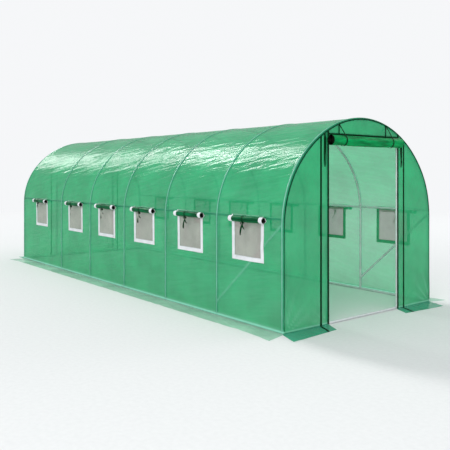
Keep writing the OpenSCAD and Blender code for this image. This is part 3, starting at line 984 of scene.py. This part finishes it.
class TUNNEL_OT_end_walls(Operator):
    """Hang the end walls round the door openings and close the rear door"""

    bl_idname = "tunnel.end_walls"
    bl_label = "End Walls"

    def execute(self, context):
        sizes = context.scene.tunnel_sizes
        levels = [SPRING_H, DOOR_CORNER_S, *FOOT_LEVELS]
        levels += [HALF_ARCH, *(ARCH_L - s for s in levels)]
        columns = lines_between(FOOT, ARCH_L - FOOT, END_GRID, levels)
        outline = [arch_at(s)[:2] for s in columns]
        area = sum(a[0] * b[1] - b[0] * a[1] for a, b in zip(outline, outline[1:] + outline[:1])) / 2
        area = abs(area) - 2 * DOOR_HALF * DOOR_H
        for side, end in ENDS:
            bm = grid_mesh(columns, steps(26), lambda s, r: end_point(*self.between(s, r), sizes, side),
                           flat=self.between)
            # Strength of the painted highlight along the sill and on the corner folds
            mark(bm, "rubbed", lambda y, z: self.rubbed(y, z, side))
            if side == -1:
                turn_over(bm)
            wall = add_piece(f"{end}_wall_sheet", bm, ["end"],
                             [f"{end}_panel_left", f"{end}_panel_right", f"{end}_panel_top"])
        bm = grid_mesh(lines_between(-DOOR_HALF, DOOR_HALF, END_GRID), lines_between(FOOT, DOOR_H, END_GRID),
                       lambda y, z: end_point(y, z, sizes, -1))
        turn_over(bm)
        door = add_piece("rear_door_sheet", bm, ["end"], ["rear_door_panel"])
        return {"FINISHED"}

    def between(self, s, r):
        """Point (y, z) on the way from the door's outline to the arch."""
        y, z, out_y, out_z = arch_at(s)
        y, z = y - out_y * EDGE_INSET, z - out_z * EDGE_INSET
        door_y, door_z = door_edge(s)
        return door_y + (y - door_y) * r, door_z + (z - door_z) * r

    def rubbed(self, y, z, side):
        """Strength of the painted highlight on an end wall: a pale line along the sill tube and pale crests on the
        corner folds.
        """
        return max(0.7 * near(z - FOOT_LINE, PAINTED_HIGHLIGHT["sill"]), 0.35 * max(corner_rays(y, z, side), 0.0))


def flap_point(y, r, skew, side, sizes):
    """Point of a flap that bends out from the foot of an end wall."""
    reach = FLAP_L
    if side > 0:
        reach = FLAP_DOOR_L + (FLAP_L - FLAP_DOOR_L) * share(abs(y), DOOR_HALF, HALF_W)
    z, out = bend_out(r, reach)
    t = out / reach
    y -= skew * t
    wall = (abs(end_x(y, z, sizes, side)) - HALF_L) * (1 - share(out, 0.0, 0.05))
    waves = ground_height(side * out, y, sizes, out) * (1 - 0.35 * near(t - 1, 0.2))
    return Vector((side * (HALF_L + FLAP_GAP + wall + out), y, z + waves))


class TUNNEL_OT_flaps(Operator):
    """Lay the flaps of the end walls on the ground"""

    bl_idname = "tunnel.flaps"
    bl_label = "Ground Flaps"

    def execute(self, context):
        sizes = context.scene.tunnel_sizes
        flaps = (("front_flap_left", -HALF_W, -DOOR_HALF, FLAP_SKEW, 1, "front_flaps", "front_sill"),
                 ("front_flap_right", DOOR_HALF, HALF_W, FLAP_SKEW, 1, "front_flaps", "front_sill"),
                 ("rear_flap_sheet", -HALF_W, HALF_W, 0.0, -1, "rear_flap", "rear_sill"))
        for name, near_y, far_y, skew, side, replaced, sill in flaps:
            bm = grid_mesh(lines_between(near_y, far_y, END_GRID), ground_rows(12),
                           lambda y, r: flap_point(y, r, skew, side, sizes),
                           flat=lambda y, r: (r * FLAP_L, y))
            if side == 1:
                turn_over(bm)
            flap = add_piece(name, bm, ["flap"], [replaced])
        return {"FINISHED"}


# Dark tapes

def zip_tape(points, place, reverse=False):
    """Zip tape with a raised coil along its middle, placed by a function of a point, an offset and a height."""
    bm = grid_mesh(list(range(len(points))), list(ZIP_COIL),
                   lambda i, r: place(points[i], r * ZIP_W, ZIP_COIL[r]),
                   flat=lambda i, r: (i * END_GRID, r * ZIP_W))
    if reverse:
        turn_over(bm)
    thicken(bm)
    return bm


class TUNNEL_OT_zips(Operator):
    """Sew the zip tapes on the end walls and the flaps"""

    bl_idname = "tunnel.zips"
    bl_label = "Zip Tapes"

    def execute(self, context):
        sizes = context.scene.tunnel_sizes
        outer = OUTER_ZIP_Y + ZIP_W / 2
        for side, end in ENDS:
            bm = new_cloth()
            for y in (DOOR_HALF + ZIP_W / 2, outer):
                heights = lines_between(0.008, crown_height(y + ZIP_W / 2, 0.012), END_GRID)
                for hand in (-1, 1):
                    join_into(bm, zip_tape(
                        heights, lambda z, d, coil: self.on_wall(hand * y + d, z, coil, side, sizes), side == 1))
            across = lines_between(-DOOR_HALF, DOOR_HALF, END_GRID)
            middle_z, narrow = DOOR_H + HEADER_ZIP_W / 2, HEADER_ZIP_W / ZIP_W
            join_into(bm, zip_tape(
                across, lambda y, d, coil: self.on_wall(y, middle_z + d * narrow, coil, side, sizes), side == -1))
            if side == 1:
                for y in (outer, -outer):
                    join_into(bm, zip_tape(ground_rows(12)[2:],
                                           lambda r, d, coil: self.on_flap(y + d, r, coil, sizes)))
            add_piece(f"{end}_zip_tapes", bm, ["webbing"], [f"{end}_zips"])
        return {"FINISHED"}

    def on_wall(self, y, z, coil, side, sizes):
        return end_point(y, z, sizes, side, ZIP_LIFT + coil)

    def on_flap(self, y, r, coil, sizes):
        """Point above a flap, level beside the wall and upward on the ground."""
        a = share(r, BEND_TURN, 1.0) * math.pi / 2
        off = Vector((math.cos(a), 0, math.sin(a)))
        return flap_point(y, r, FLAP_SKEW, 1, sizes) + off * (FLAP_ZIP_LIFT + coil)


class TUNNEL_OT_bindings(Operator):
    """Bind the edge of the cover round both end arches with dark tape"""

    bl_idname = "tunnel.bindings"
    bl_label = "Arch Bindings"

    def execute(self, context):
        sizes = context.scene.tunnel_sizes
        columns = lines_between(BINDING_FOOT, ARCH_L - BINDING_FOOT, BINDING_GRID)
        for side, end in ENDS:
            bm = grid_mesh(columns, list(BINDING_DOME), lambda s, r: self.place(s, r, side, sizes),
                           flat=lambda s, r: (s, r * sizes.binding_w))
            if side == 1:
                turn_over(bm)
            thicken(bm, BINDING_T)
            add_piece(f"{end}_arch_binding", bm, ["binding"])
        return {"FINISHED"}

    def place(self, s, r, side, sizes):
        y, z, out_y, out_z = arch_at(s)
        gathers = 1 + 0.16 * drawn("binding_gather", s, side)
        narrow = 0.4 + 0.6 * smooth(share(from_foot(s), 0.75, 1.1))
        inset = BINDING_INSET + r * sizes.binding_w * gathers * narrow
        return end_point(y - out_y * inset, z - out_z * inset, sizes, side, BINDING_LIFT + BINDING_DOME[r])


# Rolled-up sheets

def rolled_sheet(start, end, radius, pitch, tail, place, lump, pinches, seed, round_steps=28, band=0.0):
    """Sheet wound into a roll; place turns a length, a depth and a height round the axis into a point.

    The outer turn takes the first finish, the inner windings the second, the sewn edge the third and end bands the
    fourth.
    """
    turns = (radius - CORE_R) / pitch
    turn_l = math.pi * (radius + CORE_R)
    count = math.ceil(turns * round_steps)
    rows = [-tail, -tail / 2] + [i * turns / count for i in range(count + 1)]
    centre = (start + end) / 2

    def wound(along, turn):
        step = max(turn, 0.0)
        angle = math.pi + 2 * math.pi * step
        r = radius - pitch * step
        folds = (drawn("roll_fold", along, 1.2 * math.cos(angle), seed + 1.2 * math.sin(angle))
                 + 0.6 * drawn("roll_crinkle", along, 2.2 * math.cos(angle), seed + 2.2 * math.sin(angle)))
        pinch = sum(near(along - p, PINCH_W) for p in pinches)
        r -= (lump * (0.45 - 0.55 * folds) + PINCH_DEPTH * pinch) * (r / radius)
        slip = 1 + ROLL_SLIP * drawn("roll_slip", step * 0.9, seed, 1 if along > centre else -1)
        depth, height = r * math.cos(angle), r * math.sin(angle)
        if turn < 0:
            depth, height = -radius + 0.0005, -turn
        return place(centre + (along - centre) * slip, depth, height)

    bm = grid_mesh(lines_between(start, end, ROLL_GRID, pinches), rows, wound,
                   flat=lambda along, turn: (along, turn * turn_l))
    cloth = bm.loops.layers.uv["flat"]
    for face in bm.faces:
        spots = [loop[cloth].uv for loop in face.loops]
        along = sum(spot.x for spot in spots) / len(spots)
        turn = sum(spot.y for spot in spots) / len(spots) / turn_l
        if turn > 1.02:
            face.material_index = 1
        elif turn < 0:
            face.material_index = 2
        elif min(along - start, end - along) < band:
            face.material_index = 3
    return bm, turns * turn_l + tail


class TUNNEL_OT_door_roll(Operator):
    """Roll up the front door under its header"""

    bl_idname = "tunnel.door_roll"
    bl_label = "Rolled-Up Door"

    def execute(self, context):
        sizes = context.scene.tunnel_sizes
        start, end = low("door_roll")[1], high("door_roll")[1]
        tail = high("door_roll")[2] - DOOR_ROLL_Z

        def place(y, depth, height):
            sag = DOOR_ROLL_SAG * pillow(share(y, *STRAP_YS))
            return Vector((DOOR_ROLL_X + depth, y, DOOR_ROLL_Z + height - sag * (height < DOOR_ROLL_R)))

        bm, long = rolled_sheet(start, end, DOOR_ROLL_R, DOOR_PITCH, tail, place, sizes.roll_lump, STRAP_YS,
                                DOOR_ROLL_SEED)
        roll = add_piece("door_roll_sheet", bm, ["roll", "core", "end"], ["door_roll"])
        return {"FINISHED"}


def knot(place, seed, size=KNOT_R):
    """Small knot of tape: a ball drawn in by its windings."""
    bm = new_cloth()
    bmesh.ops.create_icosphere(bm, subdivisions=3, radius=size)
    for v in bm.verts:
        way = v.co.normalized()
        wrap = math.sin(5 * way.z + 3 * math.atan2(way.y, way.x) + seed)
        v.co = way * size * (0.9 + 0.13 * wrap)
        v.co.x *= 0.75
    bmesh.ops.translate(bm, vec=place, verts=bm.verts[:])
    return bm


class TUNNEL_OT_door_straps(Operator):
    """Tie the rolled-up door with two straps and hang the loose ties beside the door"""

    bl_idname = "tunnel.door_straps"
    bl_label = "Door Straps"

    def execute(self, context):
        bm = new_cloth()
        for y in STRAP_YS:
            self.strap(bm, y)
        add_piece("door_strap_loops", bm, ["webbing"], ["door_straps"])
        bm = new_cloth()
        for hand in (-1, 1):
            self.tie(bm, hand, context.scene.tunnel_sizes)
        add_piece("door_tie_tapes", bm, ["webbing"], ["door_ties"])
        return {"FINISHED"}

    def strap(self, bm, y):
        """Loop round the roll with a knot and two short ends."""
        path = self.loop(y)
        top = path[0]
        join_into(bm, ribbon(path, lambda i: Vector((0, 1, 0)), STRAP_W))
        join_into(bm, knot(top, y))
        for lean in (-0.5, 0.6):
            end = [top + Vector((0.004, lean * 0.03 * t, -0.045 * t + 0.012 * t * t)) for t in steps(6)]
            join_into(bm, ribbon(end, lambda i: Vector((0.3, 0.95, 0)), 0.008))

    def loop(self, y):
        """Path of a strap from its knot over the front of the roll, under it and up behind it."""
        axis = Vector((DOOR_ROLL_X, y, DOOR_ROLL_Z))
        depth = HALF_L + KNOT_R - DOOR_ROLL_X
        height = crown_height(y, 0.0033) - KNOT_DROP - DOOR_ROLL_Z
        r = DOOR_ROLL_R - 0.001
        start = math.atan2(height, depth) - math.acos(r / math.hypot(depth, height))
        top = Vector((depth, 0, height))
        touch = Vector((r * math.cos(start), 0, r * math.sin(start)))
        path = [axis + top + (touch - top) * t for t in steps(8)[:-1]]
        for t in steps(30):
            a = start - (start + STRAP_TURN) * t
            path.append(axis + Vector((r * math.cos(a), 0, r * math.sin(a) - 0.002 * max(-math.sin(a), 0))))
        back = HALF_L + STRAP_GAP - DOOR_ROLL_X
        return path + [axis + Vector((back, 0, height * t)) for t in steps(8)[1:]]

    def tie(self, bm, hand, sizes):
        """Two loose strands that hang from a knot."""
        middle_y = high("door_ties")[1] - STRAP_W / 2
        top, foot = high("door_ties")[2], low("door_ties")[2]
        for strand, drop in ((-1, 1.0), (1, 0.94)):
            path = []
            for t in steps(24):
                y = hand * middle_y + strand * 0.008 * smooth(share(t, 0.0, 0.12))
                y += 0.012 * drawn("door_tie", t * 2.2, hand, 3 * strand) * t - 0.004 * t
                z = top + (foot - top) * drop * t
                path.append(end_point(y, z, sizes, 1, TIE_LIFT + 0.012 * smooth(t)))
            join_into(bm, ribbon(
                path, lambda i: Vector((0.45 * math.sin(i * 0.17 + strand), 1, 0)).normalized(), STRAP_W))
        join_into(bm, knot(path[0] + Vector((0.002, 0, 0)), 3.0 + hand))


# Windows

def wall_point(x, h, hand, sizes, lift):
    """Point on a side wall, h metres up along the cover."""
    return cover_point(x, h if hand < 0 else ARCH_L - h, sizes, lift)


class TUNNEL_OT_window_frames(Operator):
    """Sew white tape round the windows and stretch the screens"""

    bl_idname = "tunnel.window_frames"
    bl_label = "Window Frames"

    def execute(self, context):
        sizes = context.scene.tunnel_sizes
        sill, head = along_arch(WINDOW_SILL), along_arch(WINDOW_TOP)
        bm = new_cloth()
        bm.verts.layers.float.new("rim")
        for hand, wall in WALLS:
            for number, m in enumerate(BAY_MIDDLES, 1):
                join_into(bm, self.tape_frame(m, sill, head, hand, sizes))
                self.screen(f"window_screen_{wall}_{number}", m, sill, head, hand, sizes)
        add_piece("window_tape_frames", bm, ["tape"], ["window_frames"])
        return {"FINISHED"}

    def tape_frame(self, m, sill, head, hand, sizes):
        left, right = m - WINDOW_HALF_W, m + WINDOW_HALF_W
        fine = (0.003, 0.005, FRAME_W - 0.005, FRAME_W - 0.003, FRAME_W)

        def lines(start, end):
            return lines_between(start, end, FRAME_GRID, [start + f for f in fine] + [end - f for f in fine])

        def rim(x, h):
            return min(x - m + WINDOW_HALF_W, m + WINDOW_HALF_W - x, h - sill, head - h)

        def place(x, h):
            proud = FRAME_LIFT + 0.0012 * drawn("frame_pucker", x, h, hand)
            return wall_point(x, h, hand, sizes, proud)

        bm = grid_mesh(lines(left, right), lines(sill, head), place, leave_out=lambda x, h: rim(x, h) > FRAME_W)
        if hand > 0:
            turn_over(bm)
        mark(bm, "rim", rim)
        thicken(bm)
        return bm

    def screen(self, name, m, sill, head, hand, sizes):
        half = WINDOW_HALF_W - FRAME_W + SCREEN_SEAM
        columns = lines_between(m - half, m + half, SCREEN_GRID)
        rows = lines_between(sill + FRAME_W - SCREEN_SEAM, head - FRAME_W + SCREEN_SEAM, SCREEN_GRID)

        def place(x, h):
            slack = pillow(share(x, columns[0], columns[-1])) * pillow(share(h, rows[0], rows[-1]))
            ripple = 0.003 * drawn("screen_ripple", x, h, m + hand)
            away = 1 - near(brace_distance(x, h), 0.07)
            depth = SCREEN_SEAT + (SCREEN_DEPTH + (SCREEN_SAG - ripple) * slack) * away
            return wall_point(x, h, hand, sizes, -depth)

        bm = grid_mesh(columns, rows, place)
        if hand > 0:
            turn_over(bm)
        screen = add_piece(name, bm, ["screen"], ["window_screens"])


class TUNNEL_OT_window_rolls(Operator):
    """Roll up the window flaps, with white tape at both ends of each roll"""

    bl_idname = "tunnel.window_rolls"
    bl_label = "Window Rolls"

    def execute(self, context):
        sizes = context.scene.tunnel_sizes
        for hand, wall in WALLS:
            for number, m in enumerate(BAY_MIDDLES, 1):
                self.roll(f"window_flap_{wall}_{number}", m, hand, sizes)
        return {"FINISHED"}

    def roll(self, name, m, hand, sizes):
        start, end = (m + WINDOW_ROLL_SHIFT + side * WINDOW_ROLL_L / 2 for side in (-1, 1))
        seed = WINDOW_ROLL_SEED + 3.7 * m + 11.0 * hand

        def place(x, depth, height):
            tilt = 0.006 * drawn("roll_tilt", m, hand) * (x - m) / WINDOW_ROLL_L
            return Vector((x, hand * (WINDOW_ROLL_Y + depth), WINDOW_ROLL_Z + height + tilt))

        bm, long = rolled_sheet(start, end, WINDOW_ROLL_R, WINDOW_PITCH, WINDOW_ROLL_R, place,
                                0.8 * sizes.roll_lump, (m,), seed, round_steps=24, band=WINDOW_ROLL_BAND)
        if hand < 0:
            turn_over(bm)
        flap = add_piece(name, bm, ["window_roll", "core", "cover", "tape"], ["window_rolls"])


class TUNNEL_OT_window_ties(Operator):
    """Tie each window roll with a band, a small bow and two hanging ends"""

    bl_idname = "tunnel.window_ties"
    bl_label = "Window Ties"

    def execute(self, context):
        bm = new_cloth()
        for hand, _ in WALLS:
            for m in BAY_MIDDLES:
                self.tie(bm, m, hand)
        add_piece("window_tie_tapes", bm, ["webbing"], ["window_ties"])
        return {"FINISHED"}

    def tie(self, bm, m, hand):
        axis = Vector((m, hand * WINDOW_ROLL_Y, WINDOW_ROLL_Z))
        out, up, along = Vector((0, hand, 0)), Vector((0, 0, 1)), Vector((1, 0, 0))
        r = WINDOW_ROLL_R - 0.0008
        turn = [TIE_START + TIE_TURN * t for t in steps(24)]
        band = [axis + out * (r * math.cos(a)) + up * (r * math.sin(a)) for a in turn]
        join_into(bm, ribbon(band, lambda i: along, STRAP_W * 0.8))
        foot = axis + out * (r * math.cos(TIE_KNOT) + 0.004) + up * (r * math.sin(TIE_KNOT) - 0.003)
        join_into(bm, knot(foot, m, TIE_KNOT_R))
        sway = 0.012 * drawn("tie_sway", m, hand)
        for lean, drop, width in TIE_ENDS:
            end = [foot + along * ((lean + sway) * t ** 1.3) + out * (0.010 * math.sin(math.pi * t) - 0.004 * t)
                   - up * (drop * t) for t in steps(12)]
            join_into(bm, ribbon(end, lambda i: (along + out * 0.5 * math.sin(0.35 * i + m)).normalized(), width))
        for side in (-1, 1):
            bow = [foot + along * side * (BOW_L * (1 - math.cos(a)) / 2 + 0.002)
                   + up * (BOW_H * math.sin(a) - 0.003) + out * 0.005
                   for a in (2 * math.pi * t for t in steps(12))]
            join_into(bm, ribbon(bow, lambda i: out, BOW_W))


class TUNNEL_OT_stage(Operator):
    """Set up the pale floor, the soft light and the camera"""

    bl_idname = "tunnel.stage"
    bl_label = "Stage"

    def execute(self, context):
        scene = context.scene
        scene.view_settings.view_transform = "Standard"
        self.floor(scene)
        self.world(scene)
        self.lamps(scene)
        self.camera(scene)
        return {"FINISHED"}

    def floor(self, scene):
        """Pale floor that fades into the backdrop far from the object."""
        bm = bmesh.new()
        bmesh.ops.create_circle(bm, cap_ends=True, segments=96, radius=FLOOR_R)
        mesh = bpy.data.meshes.new("studio_floor")
        bm.to_mesh(mesh)
        bm.free()
        material, tree = new_material("pale_floor")
        space = object_space(tree)
        grain = cloud(tree, space, 30.0)
        paint = mottled(tree, scene.tunnel_colours.floor, grain, 0.3, 0.7, 0.98, 1.02)
        ground = node(tree, "BsdfPrincipled", {"Base Color": paint, "Roughness": 0.9,
                                               "Specular IOR Level": 0.1}).outputs[0]
        far = node(tree, "VectorMath", {0: space}, operation="LENGTH").outputs["Value"]
        haze = node(tree, "Emission", {"Color": BACKDROP, "Strength": 1.0}).outputs[0]
        fade = maths(tree, "MULTIPLY", seen_directly(tree), ranged(tree, far, 6.5, 16.0))
        surface(tree, mixed(tree, fade, ground, haze))
        mesh.materials.append(material)
        floor = bpy.data.objects.new("studio_floor", mesh)
        scene.collection.objects.link(floor)

    def world(self, scene):
        """Soft light from all round, with an even backdrop."""
        world = bpy.data.worlds.new("studio_sky")
        world.use_nodes = True
        tree = world.node_tree
        tree.nodes.clear()
        light = node(tree, "Background", {"Color": SKY_LIGHT, "Strength": SKY_STRENGTH}).outputs[0]
        back = node(tree, "Background", {"Color": BACKDROP, "Strength": 1.0}).outputs[0]
        node(tree, "OutputWorld", {"Surface": mixed(tree, seen_directly(tree), light, back)})
        scene.world = world

    def lamps(self, scene):
        for name, place, aim, size, power in LAMPS:
            lamp = bpy.data.lights.new(name, "AREA")
            lamp.shape = "RECTANGLE"
            lamp.size, lamp.size_y = size
            lamp.energy = power
            lit = bpy.data.objects.new(name, lamp)
            lit.location = place
            lit.rotation_euler = (Vector(aim) - lit.location).to_track_quat("-Z", "Y").to_euler()
            scene.collection.objects.link(lit)

    def camera(self, scene):
        lens = bpy.data.cameras.new("photo_camera")
        lens.sensor_width = SENSOR_MM
        lens.lens = LENS_PX / IMAGE_PX * SENSOR_MM
        lens.shift_y = (HORIZON_PX - IMAGE_PX / 2) / IMAGE_PX
        lens.clip_end = 300.0
        camera = bpy.data.objects.new("photo_camera", lens)
        camera.location = CAMERA_PLACE
        camera.rotation_euler = (math.pi / 2, 0.0, CAMERA_TURN)
        scene.collection.objects.link(camera)
        scene.camera = camera


OPERATORS = (TUNNEL_OT_frame, TUNNEL_OT_cover, TUNNEL_OT_skirts, TUNNEL_OT_end_walls, TUNNEL_OT_flaps,
             TUNNEL_OT_zips, TUNNEL_OT_bindings, TUNNEL_OT_door_roll, TUNNEL_OT_door_straps,
             TUNNEL_OT_window_frames, TUNNEL_OT_window_rolls, TUNNEL_OT_window_ties, TUNNEL_OT_stage)


class TUNNEL_PT_sidebar(Panel):
    """Sizes, colours and pieces of the polytunnel"""

    bl_label = "Polytunnel"
    bl_idname = "TUNNEL_PT_sidebar"
    bl_space_type = "VIEW_3D"
    bl_region_type = "UI"
    bl_category = "Polytunnel"

    def draw(self, context):
        for group in (context.scene.tunnel_sizes, context.scene.tunnel_colours):
            box = self.layout.box()
            for name in group.__annotations__:
                box.prop(group, name)
        for operator in OPERATORS:
            self.layout.operator(operator.bl_idname)


CLASSES = (TunnelSizes, TunnelColours, *OPERATORS, TUNNEL_PT_sidebar)


def register():
    for cls in CLASSES:
        bpy.utils.register_class(cls)
    bpy.types.Scene.tunnel_sizes = PointerProperty(type=TunnelSizes)
    bpy.types.Scene.tunnel_colours = PointerProperty(type=TunnelColours)


def unregister():
    del bpy.types.Scene.tunnel_colours
    del bpy.types.Scene.tunnel_sizes
    for cls in reversed(CLASSES):
        bpy.utils.unregister_class(cls)


def main():
    register()
    for operator in OPERATORS:
        group, name = operator.bl_idname.split(".")
        getattr(getattr(bpy.ops, group), name)()


if __name__ == "__main__":
    main()
